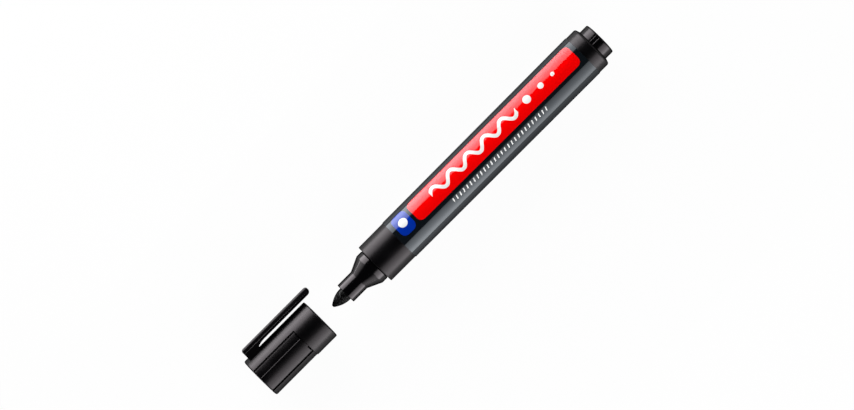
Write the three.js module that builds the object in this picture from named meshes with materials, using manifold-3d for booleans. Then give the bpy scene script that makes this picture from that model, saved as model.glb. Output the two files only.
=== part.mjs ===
// Felt-tipped marker lying on its side, with its cap drawn off and left in line with the nib.
// Millimetres, +Z up. The marker's axis runs along X, with the nib toward -X and the tail
// toward +X. The clip points toward +Y. The marker lies on Z = 0, and the origin is under the
// middle of its bounding box.
//
// Each piece is drawn with the collar's front face at X = 0 and the axis at Y = Z = 0, and the
// group at the end lifts the whole marker on to the surface.

import * as THREE from 'three';
import { mergeVertices } from 'three/addons/utils/BufferGeometryUtils.js';
import Module from 'manifold-3d';

const wasm = await Module();
wasm.setup();

// Lengths along the axis, from the cap's closed end to the tail
const capLength = 28.3;
const capClearOfNib = 5.8;
const nibExposed = 6.0;
const tipLength = 6.35;
const coneLength = 5.0;
const seatLength = 2.5;
const collarLength = 11.45;
const labelLength = 86.7;
const shoulderLength = 4.45;
const plugExposed = 4.0;

// The spigot radius is shared by the nozzle's seat and the tail plug, so that the cap fits both
const spigotRadius = 6.17;
const spigotGap = 0.03;
const spigotDepth = 8.0;
const stopGap = 0.1;

// Barrel, which grows slightly toward the tail so that it leaves its mould
const barrelFrontRadius = 7.74;
const barrelTailRadius = 8.0;
const chamberRadius = 6.02;
const collarEdge = 0.3;
const shoulderEdge = 0.9;

// Printed film round the barrel
const filmThickness = 0.15;
const filmGap = 0.03;

// Nozzle that holds the nib
const tipRadius = 3.83;
const tipEdge = 0.3;
const reliefWidth = 0.4;
const reliefDepth = 0.35;
const nozzleChamberRadius = 4.9;
const nozzleChamberDepth = 5.0;
const airChannels = 3;
const airChannelWidth = 0.7;
const airChannelDepth = 0.35;

// Nib, whose point swells from a blunt end to the full radius along a parabola
const nibRadius = 2.45;
const nibGap = 0.04;
const nibEndRadius = 0.4;
const nibPointLength = 5.6;
const nibPointSteps = 7;
const nibInReservoir = 6.0;
const nibHeelTaper = 1.5;

// Ink store and the clear film round it
const wrapThickness = 0.12;
const wrapGap = 0.04;
const reservoirAirGap = 0.1;
const reservoirHoleGap = 0.15;

// Tail plug, a cup whose mouth faces the ink store
const plugEdge = 0.5;
const plugCrown = 0.3;
const plugFlatRadius = 4.6;
const plugCupRadius = 4.9;
const plugFloor = 3.0;

// Cap: a ring round its mouth, and a grip sunk into the rest of its length, apart from the clip's side
const capRadius = 7.86;
const capRingLength = 9.0;
const capEndWall = 1.5;
const capEndEdge = 0.6;
const capMouthEdge = 0.4;
const capRunningGap = 0.06;
const capClosedGap = 0.1;
const gripDepth = 0.25;
// Edge of the grip, in degrees round the axis from the clip
const gripFrom = 62.5;

// Inner seal of the cap, a thin cup that slips over the nozzle's tip
const sealGap = 0.05;
const sealWall = 1.0;
const sealFloor = 1.2;
const sealOverlap = 4.3;
const sealFitGap = 0.05;

// Clip: a root block on the cap, and an arm that springs from it. Heights are from the axis
const clipStart = 2.0;
const clipRootLength = 5.0;
const clipLength = 30.25;
const clipOuterHeight = 11.2;
const clipInnerHeight = 8.6;
const clipStepHeight = 9.4;
const clipWidth = 8.8;
const clipCrownInset = 0.2;
const clipCrownEdge = 0.5;
const clipFilletLength = 3.4;
const clipEndCorner = 1.4;
const clipHingeGap = 0.3;
const clipCapGap = 0.3;

// Number of flat sides that stand for each round surface
const sides = 48;

// How far a cutting shape reaches past what it cuts
const cutBeyond = 1;

// Places that follow from the sizes above
const nozzleFront = -(tipLength + coneLength + seatLength);
const nibFront = nozzleFront - nibExposed;
const capMouth = nibFront - capClearOfNib;
const capEnd = capMouth - capLength;
const labelEnd = collarLength + labelLength;
const barrelEnd = labelEnd + shoulderLength;
const tailEnd = barrelEnd + plugExposed;
const nozzleBack = spigotDepth - stopGap;
const plugFront = barrelEnd - spigotDepth + stopGap;
const reservoirFront = nozzleBack + stopGap;
const reservoirBack = plugFront - stopGap;
const nibHeel = reservoirFront + nibInReservoir;
const wrapRadius = chamberRadius - reservoirAirGap;
const reservoirRadius = wrapRadius - wrapThickness - wrapGap;
const capBore = spigotRadius + capRunningGap;
const capTravel = -capMouth - capClosedGap;
const sealBore = tipRadius + sealGap;
const sealRadius = sealBore + sealWall;
const sealFront = capEnd + capEndWall + sealFitGap;
const sealBack = nozzleFront - capTravel + sealOverlap;
const clipRootEnd = capEnd + clipStart + clipRootLength;
const clipArmStart = clipRootEnd + clipHingeGap;
const clipEnd = capEnd + clipStart + clipLength;

function barrelRadiusAt(along) {
  return THREE.MathUtils.lerp(barrelFrontRadius, barrelTailRadius, along / barrelEnd);
}

// Materials
const satinBlack = { color: 0x17171a, roughness: 0.5, metalness: 0 };
const glossBlack = { color: 0x0b0b0d, roughness: 0.15, metalness: 0 };
const printedFilm = { color: 0xdc0406, roughness: 0.12, metalness: 0 };
const inkedFibre = { color: 0x1c1c1e, roughness: 0.95, metalness: 0 };
const soakedFibre = { color: 0x26262c, roughness: 1, metalness: 0 };
const clearFilm = { color: 0xc9d2d6, roughness: 0.2, metalness: 0 };
const sealPlastic = { color: 0x2b2b2e, roughness: 0.45, metalness: 0 };

function piece(name, look, geometry) {
  const mesh = new THREE.Mesh(geometry, new THREE.MeshStandardMaterial(look));
  mesh.name = name;
  return mesh;
}

// Turns an outline round the axis. Each point is [along the axis, distance from the axis].
// The first side is centred on +Z, so a flat side and not an edge faces the surface below.
function turned(outline) {
  const points = outline.map(([along, radius]) => new THREE.Vector2(radius, along));
  const geometry = new THREE.LatheGeometry(points, sides, Math.PI / sides, 2 * Math.PI);
  return geometry.rotateZ(-Math.PI / 2);
}

// Points of a rounded corner in an outline, swept between two angles in degrees
function corner(along, radius, bend, from, to, steps = 3) {
  return Array.from({ length: steps + 1 }, (_, i) => {
    const angle = THREE.MathUtils.degToRad(THREE.MathUtils.lerp(from, to, i / steps));
    return [along + bend * Math.cos(angle), radius + bend * Math.sin(angle)];
  });
}

// Closed triangle mesh as a solid that can be joined and cut
function solidOf(geometry) {
  const bare = geometry.clone();
  bare.deleteAttribute('normal');
  bare.deleteAttribute('uv');
  const merged = mergeVertices(bare);
  const triangles = [];
  for (let i = 0; i < merged.index.count; i += 3) {
    const [a, b, c] = [0, 1, 2].map((k) => merged.index.getX(i + k));
    if (a !== b && b !== c && c !== a) triangles.push(a, b, c);
  }
  return new wasm.Manifold(new wasm.Mesh({
    numProp: 3,
    vertProperties: Float32Array.from(merged.attributes.position.array),
    triVerts: Uint32Array.from(triangles),
  }));
}

function geometryOf(solid) {
  const mesh = solid.getMesh();
  const geometry = new THREE.BufferGeometry();
  geometry.setAttribute('position', new THREE.BufferAttribute(mesh.vertProperties, 3));
  geometry.setIndex(new THREE.BufferAttribute(mesh.triVerts, 1));
  geometry.computeVertexNormals();
  return geometry;
}

// Part of a ring round the axis. Angles are in degrees from the clip, turning toward +Z
function ringSector(inner, outer, from, to, start, end) {
  const [a, b] = [from, to].map(THREE.MathUtils.degToRad);
  const section = new THREE.Shape();
  section.absarc(0, 0, outer, a, b, false);
  section.absarc(0, 0, inner, b, a, true);
  const geometry = new THREE.ExtrudeGeometry(section, {
    depth: end - start, bevelEnabled: false, curveSegments: Math.ceil(((to - from) / 360) * sides),
  });
  const alongAxis = new THREE.Matrix4().makeBasis(
    new THREE.Vector3(0, 1, 0), new THREE.Vector3(0, 0, 1), new THREE.Vector3(1, 0, 0));
  return geometry.applyMatrix4(alongAxis).translate(start, 0, 0);
}

// Side view of a clip part in X and Y, given its width across the clip
function acrossClip(outline, width, edge = 0) {
  const geometry = new THREE.ExtrudeGeometry(outline, {
    depth: width - 2 * edge,
    bevelEnabled: edge > 0,
    bevelThickness: edge,
    bevelSize: edge,
    bevelOffset: -edge,
    bevelSegments: 2,
    curveSegments: 5,
  });
  return geometry.translate(0, 0, edge - width / 2);
}

function barrel() {
  const bore = spigotRadius + spigotGap;
  return piece('barrel', satinBlack, turned([
    [0, bore],
    ...corner(collarEdge, barrelFrontRadius - collarEdge, collarEdge, 180, 90),
    ...corner(barrelEnd - shoulderEdge, barrelTailRadius - shoulderEdge, shoulderEdge, 90, 0, 4),
    [barrelEnd, bore],
    [barrelEnd - spigotDepth, bore],
    [barrelEnd - spigotDepth, chamberRadius],
    [spigotDepth, chamberRadius],
    [spigotDepth, bore],
    [0, bore],
  ]));
}

function label() {
  const inside = (along) => barrelRadiusAt(along) + filmGap;
  const outside = (along) => inside(along) + filmThickness;
  return piece('barrel_label', printedFilm, turned([
    [collarLength, inside(collarLength)],
    [collarLength, outside(collarLength)],
    [labelEnd, outside(labelEnd)],
    [labelEnd, inside(labelEnd)],
    [collarLength, inside(collarLength)],
  ]));
}

function nozzle() {
  const bore = nibRadius + nibGap;
  const chamberFront = nozzleBack - nozzleChamberDepth;
  const body = solidOf(turned([
    [nozzleFront, bore],
    ...corner(nozzleFront + tipEdge, tipRadius - tipEdge, tipEdge, 180, 90, 2),
    [nozzleFront + tipLength, tipRadius],
    [-seatLength, spigotRadius],
    [-reliefWidth, spigotRadius],
    [0, spigotRadius - reliefDepth],
    [0, spigotRadius],
    [nozzleBack, spigotRadius],
    [nozzleBack, nozzleChamberRadius],
    [chamberFront, nozzleChamberRadius],
    [chamberFront, bore],
    [nozzleFront, bore],
  ]));
  const channelLength = chamberFront - nozzleFront + 2 * cutBeyond;
  const channel = new THREE.BoxGeometry(channelLength, airChannelWidth, bore + airChannelDepth)
    .translate((nozzleFront + chamberFront) / 2, 0, (bore + airChannelDepth) / 2);
  let vented = body;
  for (let i = 0; i < airChannels; i += 1) {
    vented = vented.subtract(solidOf(channel.clone().rotateX((2 * Math.PI * i) / airChannels)));
  }
  return piece('nozzle', glossBlack, geometryOf(vented));
}

function nib() {
  const point = Array.from({ length: nibPointSteps + 1 }, (_, i) => {
    const share = i / nibPointSteps;
    const radius = nibRadius - (nibRadius - nibEndRadius) * (1 - share) ** 2;
    return [nibFront + share * nibPointLength, radius];
  });
  return piece('nib', inkedFibre, turned([
    [nibFront, 0],
    ...point,
    [nibHeel - nibHeelTaper, nibRadius],
    [nibHeel, nibRadius / 2],
    [nibHeel, 0],
  ]));
}

function inkReservoir() {
  const hole = nibRadius + reservoirHoleGap;
  return piece('ink_reservoir', soakedFibre, turned([
    [nibHeel + stopGap, 0],
    [nibHeel + stopGap, hole],
    [reservoirFront, hole],
    [reservoirFront, reservoirRadius],
    [reservoirBack, reservoirRadius],
    [reservoirBack, 0],
  ]));
}

function reservoirWrap() {
  const inside = reservoirRadius + wrapGap;
  return piece('reservoir_wrap', clearFilm, turned([
    [reservoirFront, inside],
    [reservoirFront, wrapRadius],
    [reservoirBack, wrapRadius],
    [reservoirBack, inside],
    [reservoirFront, inside],
  ]));
}

function tailPlug() {
  const crownFoot = tailEnd - plugCrown;
  return piece('tail_plug', glossBlack, turned([
    [tailEnd - plugFloor, 0],
    [tailEnd - plugFloor, plugCupRadius],
    [plugFront, plugCupRadius],
    [plugFront, spigotRadius],
    ...corner(crownFoot - plugEdge, spigotRadius - plugEdge, plugEdge, 90, 20),
    [tailEnd, plugFlatRadius],
    [tailEnd, 0],
  ]));
}

// Everything between two places along the axis
function slice(from, to) {
  const reach = 2 * clipOuterHeight;
  return solidOf(new THREE.BoxGeometry(to - from, 2 * reach, 2 * reach)
    .translate((from + to) / 2, 0, 0));
}

// The whole clip before it is split: a base with the root block and the fillet under the arm,
// and a narrower crown with softened edges on top
function clipSolid() {
  const start = capEnd + clipStart;
  const base = new THREE.Shape();
  base.moveTo(start, 0);
  base.lineTo(clipRootEnd, 0);
  base.lineTo(clipRootEnd, capRadius + clipCapGap);
  base.quadraticCurveTo(
    clipRootEnd + clipFilletLength / 3, clipInnerHeight,
    clipRootEnd + clipFilletLength, clipInnerHeight);
  base.lineTo(clipEnd - clipEndCorner, clipInnerHeight);
  base.quadraticCurveTo(clipEnd, clipInnerHeight, clipEnd, clipStepHeight + clipCrownEdge);
  base.lineTo(start, clipStepHeight + clipCrownEdge);
  const crown = new THREE.Shape();
  crown.moveTo(start, clipStepHeight - clipCrownEdge);
  crown.lineTo(clipEnd, clipStepHeight - clipCrownEdge);
  crown.lineTo(clipEnd, clipOuterHeight);
  crown.lineTo(start, clipOuterHeight);
  return solidOf(acrossClip(base, clipWidth))
    .add(solidOf(acrossClip(crown, clipWidth - 2 * clipCrownInset, clipCrownEdge)));
}

function capShell() {
  const outside = solidOf(turned([
    [capEnd, 0],
    ...corner(capEnd + capEndEdge, capRadius - capEndEdge, capEndEdge, 180, 90),
    ...corner(capMouth - capMouthEdge, capRadius - capMouthEdge, capMouthEdge, 90, 0, 2),
    [capMouth, 0],
  ]));
  const cavity = solidOf(turned([
    [capEnd + capEndWall, 0],
    [capEnd + capEndWall, capBore],
    [capMouth + cutBeyond, capBore],
    [capMouth + cutBeyond, 0],
  ]));
  const aroundGrip = solidOf(ringSector(
    capRadius - gripDepth, capRadius + cutBeyond, gripFrom, 360 - gripFrom,
    capEnd - cutBeyond, capMouth - capRingLength));
  return piece('cap', satinBlack, geometryOf(outside
    .subtract(aroundGrip)
    .add(clipSolid().intersect(slice(capEnd, clipRootEnd)))
    .subtract(cavity)));
}

function capInnerSeal() {
  const flange = capBore - sealFitGap;
  return piece('cap_inner_seal', sealPlastic, turned([
    [sealFront, 0],
    [sealFront, flange],
    [sealFront + sealFloor, flange],
    [sealFront + sealFloor, sealRadius],
    [sealBack, sealRadius],
    [sealBack, sealBore],
    [sealFront + sealFloor, sealBore],
    [sealFront + sealFloor, 0],
  ]));
}

function capClip() {
  return piece('cap_clip', satinBlack, geometryOf(
    clipSolid().intersect(slice(clipArmStart, clipEnd + cutBeyond))));
}

const marker = new THREE.Group();
marker.add(
  barrel(), label(), nozzle(), nib(), inkReservoir(), reservoirWrap(), tailPlug(),
  capShell(), capInnerSeal(), capClip(),
);

// The label's tail end is the lowest place, and it lies on one of its flat sides
const restHeight = (barrelRadiusAt(labelEnd) + filmGap + filmThickness) * Math.cos(Math.PI / sides);
marker.position.set(
  -(capEnd + tailEnd) / 2,
  -(clipOuterHeight - restHeight) / 2,
  restHeight,
);

export default marker;
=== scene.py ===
"""Dresses a felt-tipped marker: its barrel, printed film, nozzle, nib, tail plug, cap and clip."""

import math

import bmesh
import bpy
from bpy.props import FloatProperty, FloatVectorProperty, IntProperty, PointerProperty, StringProperty
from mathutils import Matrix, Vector


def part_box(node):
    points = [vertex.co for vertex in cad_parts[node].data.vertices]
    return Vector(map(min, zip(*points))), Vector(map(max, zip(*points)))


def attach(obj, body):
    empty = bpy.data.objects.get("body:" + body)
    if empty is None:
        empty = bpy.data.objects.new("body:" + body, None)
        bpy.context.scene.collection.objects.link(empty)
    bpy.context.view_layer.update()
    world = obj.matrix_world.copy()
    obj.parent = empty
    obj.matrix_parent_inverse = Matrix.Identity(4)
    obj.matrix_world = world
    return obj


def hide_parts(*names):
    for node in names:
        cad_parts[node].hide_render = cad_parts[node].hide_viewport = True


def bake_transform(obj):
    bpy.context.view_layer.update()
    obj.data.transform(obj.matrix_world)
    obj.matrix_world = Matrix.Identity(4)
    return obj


bl_info = {
    "name": "Felt-tipped marker",
    "version": (1, 0, 0),
    "blender": (4, 5, 0),
    "location": "3D View > Sidebar > Marker",
    "description": "Builds a felt-tipped marker with its cap drawn off",
    "category": "Add Mesh",
}

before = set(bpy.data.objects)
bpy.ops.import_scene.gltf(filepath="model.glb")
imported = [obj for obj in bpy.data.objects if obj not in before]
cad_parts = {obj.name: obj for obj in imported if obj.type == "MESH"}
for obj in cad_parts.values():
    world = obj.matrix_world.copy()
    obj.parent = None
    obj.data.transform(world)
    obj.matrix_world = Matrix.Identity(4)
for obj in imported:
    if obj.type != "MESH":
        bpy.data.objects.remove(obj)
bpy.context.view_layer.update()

# Sizes in the properties are in millimetres, and the model is in metres
MM = 0.001


def span(node):
    """The lowest and highest corners of a CAD piece, in millimetres."""
    low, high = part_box(node)
    return low / MM, high / MM


BARREL, FILM, NOZZLE, NIB, PLUG = (
    span(node) for node in ("barrel", "barrel_label", "nozzle", "nib", "tail_plug")
)
CAP, CLIP, SEAL = (span(node) for node in ("cap", "cap_clip", "cap_inner_seal"))

# The marker's axis runs along X through the middle of the nozzle
AXIS_Y = (NOZZLE[0].y + NOZZLE[1].y) / 2
AXIS_Z = (NOZZLE[0].z + NOZZLE[1].z) / 2
COLLAR_X = BARREL[0].x
SPIGOT_RADIUS = (PLUG[1].z - PLUG[0].z) / 2

# Where the halves of the cap's mould met, in degrees round the axis from the clip
JOINT_ANGLE = 90


# Settings


class MarkerSizes(bpy.types.PropertyGroup):
    """Sizes of the marker's pieces, in millimetres"""

    sides: IntProperty(
        name="Sides", description="Flat sides that stand for a round surface", default=144, min=48)
    collar_radius: FloatProperty(
        name="Collar radius", description="Barrel's radius at the collar's face", default=7.74)
    shoulder_radius: FloatProperty(
        name="Shoulder radius", description="Barrel's radius at its tail end", default=8.0)
    collar_edge: FloatProperty(
        name="Collar edge", description="Rounding of the collar's front edge", default=0.3)
    shoulder_edge: FloatProperty(
        name="Shoulder edge", description="Rounding of the barrel's tail edge", default=0.6)
    shoulder_inset: FloatProperty(
        name="Shoulder inset", default=0.235,
        description="How far the outer edge of the barrel's slanted tail face lies before the tail end")
    shoulder_lip: FloatProperty(
        name="Shoulder lip", default=0.365,
        description="How far the inner edge of that face reaches along the tail plug")
    spigot_depth: FloatProperty(
        name="Spigot depth", default=8.0,
        description="Length of the spigots of the nozzle and the plug in the barrel")
    spigot_gap: FloatProperty(
        name="Spigot gap", description="Gap between those spigots and the barrel's bore", default=0.03)
    bore_step: FloatProperty(
        name="Bore step", description="How much tighter the bore is between the spigots", default=0.15)
    film_gap: FloatProperty(
        name="Film gap", description="Gap between the film and the barrel", default=0.03)
    tip_radius: FloatProperty(
        name="Tip radius", description="Radius of the nozzle's tip", default=3.83)
    tip_length: FloatProperty(
        name="Tip length", description="Length of the nozzle's straight tip", default=6.35)
    seat_length: FloatProperty(
        name="Seat length", description="Length of the seat that the cap slips over", default=2.5)
    relief_width: FloatProperty(
        name="Relief width", description="Width of the groove at the collar's face", default=0.28)
    relief_depth: FloatProperty(
        name="Relief depth", description="Depth of the groove at the collar's face", default=0.35)
    nib_gap: FloatProperty(
        name="Nib gap", description="Gap between the nib and the nozzle", default=0.04)
    nib_radius: FloatProperty(
        name="Nib radius", description="Radius of the nib behind its point", default=2.45)
    nib_end_radius: FloatProperty(
        name="Nib end radius", description="Radius of the blunt end of the nib", default=0.4)
    nib_end_edge: FloatProperty(
        name="Nib end edge", description="Rounding of the nib's blunt end", default=0.12)
    nib_heel_length: FloatProperty(
        name="Nib heel length", description="Length of the tapered heel in the ink store", default=1.5)
    nib_point_length: FloatProperty(
        name="Nib point length", description="Length over which the nib swells", default=5.6)
    plug_edge: FloatProperty(
        name="Plug edge", description="Rounding of the tail plug's edge", default=0.5)
    plug_crown: FloatProperty(
        name="Plug crown", description="Height of the tail plug's crown", default=0.3)
    plug_flat_radius: FloatProperty(
        name="Plug flat radius", description="Radius of the nearly flat end of the tail plug", default=4.6)
    plug_flat_edge: FloatProperty(
        name="Plug flat edge", description="Rounding of the edge of that nearly flat end", default=0.5)
    plug_middle_radius: FloatProperty(
        name="Plug middle radius", description="Radius of the flat middle of that end", default=3.2)
    plug_hub_radius: FloatProperty(
        name="Plug hub radius", description="Radius of the discs that close the plug", default=1.0)
    rib_angles: FloatVectorProperty(
        name="Rib angles", description="Places of the plug's mould lines, in degrees round from the clip",
        size=2, default=(75, 87.5))
    cap_radius: FloatProperty(
        name="Cap radius", description="Radius of the cap and its mouth ring", default=7.86)
    cap_ring_length: FloatProperty(
        name="Cap ring length", description="Length of the ring round the cap's mouth", default=9.0)
    cap_end_edge: FloatProperty(
        name="Cap end edge", description="Rounding of the cap's closed end", default=0.6)
    cap_mouth_edge: FloatProperty(
        name="Cap mouth edge", description="Rounding of the edges of the cap's mouth", default=0.4)
    cap_end_wall: FloatProperty(
        name="Cap end wall", description="Thickness of the cap's closed end", default=1.5)
    cap_bore: FloatProperty(
        name="Cap bore", description="Radius of the cap's bore", default=6.23)
    grip_depth: FloatProperty(
        name="Grip depth", description="How far the cap's grip is sunk below its ring", default=0.25)
    grip_step: FloatProperty(
        name="Grip step", description="Length of the slope from the ring down to the grip", default=0.12)
    grip_from: FloatProperty(
        name="Grip edge", description="Edge of the grip, in degrees round from the clip", default=62.5)
    panel_to: FloatProperty(
        name="Panel edge", description="Far edge of a side panel, in degrees from the clip", default=142.5)
    panel_open_to: FloatProperty(
        name="Panel opening", default=117.5,
        description="End of the stretch past the ridge without a cross groove, in degrees from the clip")
    groove_angle: FloatProperty(
        name="Groove angle", description="Width of the grooves along a side panel, in degrees", default=7.5)
    groove_width: FloatProperty(
        name="Groove width", description="Width of the groove across a side panel's end", default=0.5)
    groove_depth: FloatProperty(
        name="Groove depth", description="Depth of the groove round a side panel", default=0.45)
    groove_draft: FloatProperty(
        name="Groove draft", description="Sideways slant of each wall of the groove", default=0.04)
    ridge_width: FloatProperty(
        name="Ridge width", description="Width of a mould's parting ridge", default=0.15)
    ridge_height: FloatProperty(
        name="Ridge height", description="Height of a mould's parting ridge", default=0.05)
    sharp_edge: FloatProperty(
        name="Sharp edge", description="Rounding of the edges that look sharp", default=0.05)
    crisp_edge: FloatProperty(
        name="Crisp edge", description="Rounding of the nozzle's mouth and the seal's flange", default=0.1)
    soft_edge: FloatProperty(
        name="Soft edge", description="Rounding of slight edges of the nozzle, plug and seal", default=0.2)
    cone_edge: FloatProperty(
        name="Cone edge", description="Rounding where the nozzle's tip meets its cone", default=0.25)
    rim_edge: FloatProperty(
        name="Rim edge", description="Rounding of the rims of the nozzle's tip and the seal", default=0.3)
    seal_floor: FloatProperty(
        name="Seal floor", description="Thickness of the inner seal's floor", default=1.2)
    seal_wall: FloatProperty(
        name="Seal wall", description="Thickness of the inner seal's cup", default=1.0)
    seal_gap: FloatProperty(
        name="Seal gap", description="Gap between the inner seal and the nozzle's tip", default=0.05)
    clip_start: FloatProperty(
        name="Clip start", description="Distance from the cap's closed end to the clip", default=2.0)
    clip_thickness: FloatProperty(
        name="Clip thickness", description="Thickness of the clip's arm", default=2.6)
    clip_root_length: FloatProperty(
        name="Clip root length", description="Length of the block that carries the clip", default=5.0)
    clip_width: FloatProperty(
        name="Clip width", description="Width of the clip across its base", default=8.8)
    clip_inset: FloatProperty(
        name="Clip inset", description="Ledge on each side, where the crown is narrower", default=0.2)
    clip_ledge: FloatProperty(
        name="Clip ledge height", description="Height of the ledge above the clip's inner face", default=0.8)
    clip_ledge_slant: FloatProperty(
        name="Clip ledge slant", description="Rise of the slanted ledge", default=0.15)
    clip_foot_gap: FloatProperty(
        name="Clip foot gap", description="Distance from the cap's bore to the clip's foot", default=0.12)
    clip_edge: FloatProperty(
        name="Clip edge", description="Rounding of the clip's long outer edges", default=0.9)
    clip_end_edge: FloatProperty(
        name="Clip end edge", description="Rounding of the clip's short outer edges", default=0.35)
    clip_corner_edge: FloatProperty(
        name="Clip corner edge", description="Rounding of the upright edges at the clip's ends", default=0.2)
    clip_base_edge: FloatProperty(
        name="Clip base edge", description="Rounding of the long edges under the clip's arm", default=0.15)
    clip_end_corner: FloatProperty(
        name="Clip end corner", description="Rounding under the clip's free end", default=1.4)
    clip_fillet_length: FloatProperty(
        name="Clip fillet length", description="Length of the fillet under the clip's arm", default=3.4)
    clip_bend_length: FloatProperty(
        name="Clip bend length", description="Length over which the clip's arm bends", default=3.0)


class MarkerColours(bpy.types.PropertyGroup):
    """Colours of the marker's materials, as sRGB hex values"""

    plastic: StringProperty(
        name="Plastic", description="Satin and glossy black plastic", default="#020203")
    film_base: StringProperty(
        name="Film base", description="Ground colour of the printed film", default="#0D1216")
    film_red: StringProperty(
        name="Film red", description="Long panel on the printed film", default="#FB0001")
    film_blue: StringProperty(
        name="Film blue", description="Short panel on the printed film", default="#012EA2")
    film_white: StringProperty(
        name="Film white", description="Marks on the printed film", default="#F2F2F0")
    nib: StringProperty(
        name="Nib", description="Fibre of the nib where it stands out of the ink", default="#070708")
    nib_ink: StringProperty(
        name="Nib ink", description="Ink that covers the rest of the nib", default="#020202")
    store: StringProperty(
        name="Ink store", description="Soaked fibre of the ink store", default="#26262C")
    store_ink: StringProperty(
        name="Store ink", description="Ink between the fibres of the ink store", default="#101014")
    wrap: StringProperty(
        name="Wrap", description="Clear film round the ink store", default="#C9D2D6")
    seal: StringProperty(
        name="Seal", description="Soft plastic of the cap's inner seal", default="#2B2B2E")
    floor: StringProperty(
        name="Floor", description="Pale floor", default="#F6F6F6")


class MarkerPrint(bpy.types.PropertyGroup):
    """Places and sizes on the printed film, in millimetres from its front end"""

    red_from: FloatProperty(
        name="Red from", description="Front end of the red panel", default=9.3)
    red_to: FloatProperty(
        name="Red to", description="Tail end of the red panel", default=84.85)
    blue_from: FloatProperty(
        name="Blue from", description="Front end of the blue panel", default=1.8)
    blue_to: FloatProperty(
        name="Blue to", description="Tail end of the blue panel", default=8.0)
    low: FloatProperty(
        name="Lower edge", description="Lower edge of the panels, round the film", default=-1.21)
    high: FloatProperty(
        name="Upper edge", description="Upper edge of the panels, round the film", default=7.5)
    corner: FloatProperty(
        name="Corner", description="Rounding of the panels' corners", default=2.0)
    skew: FloatProperty(
        name="Skew", description="Drop of the print round the film for each millimetre along it",
        default=0.0045)
    blue_dot: FloatProperty(
        name="Blue dot", description="Radius of the white dot on the blue panel", default=1.7)
    dots_at: FloatVectorProperty(
        name="Dots at", description="Places of the three dots behind the wave", default=(63.0, 69.5, 75.0))
    dot_radii: FloatVectorProperty(
        name="Dot radii", description="Radii of those dots", default=(1.5, 1.1, 0.75))
    wave_from: FloatProperty(
        name="Wave from", description="Start of the white wave", default=18.0)
    wave_to: FloatProperty(
        name="Wave to", description="End of the white wave", default=58.0)
    wave_pitch: FloatProperty(
        name="Wave pitch", description="Length of one turn of the wave", default=8.0)
    wave_height: FloatProperty(
        name="Wave height", description="Height of the wave to each side of its middle", default=1.6)
    wave_stroke: FloatProperty(
        name="Wave stroke", description="Thickness of the wave's stroke", default=1.3)
    scale_from: FloatProperty(
        name="Scale from", description="Start of the row of white ticks", default=22.0)
    scale_to: FloatProperty(
        name="Scale to", description="End of the row of white ticks", default=66.0)
    scale_at: FloatProperty(
        name="Scale at", description="Place of the row of ticks, round the film", default=-3.9)
    tick_pitch: FloatProperty(
        name="Tick pitch", description="Distance from one tick to the next", default=1.6)
    tick_stroke: FloatProperty(
        name="Tick stroke", description="Thickness of a tick", default=0.42)
    tick_height: FloatProperty(
        name="Tick height", description="Height of a tick", default=1.5)


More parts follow.
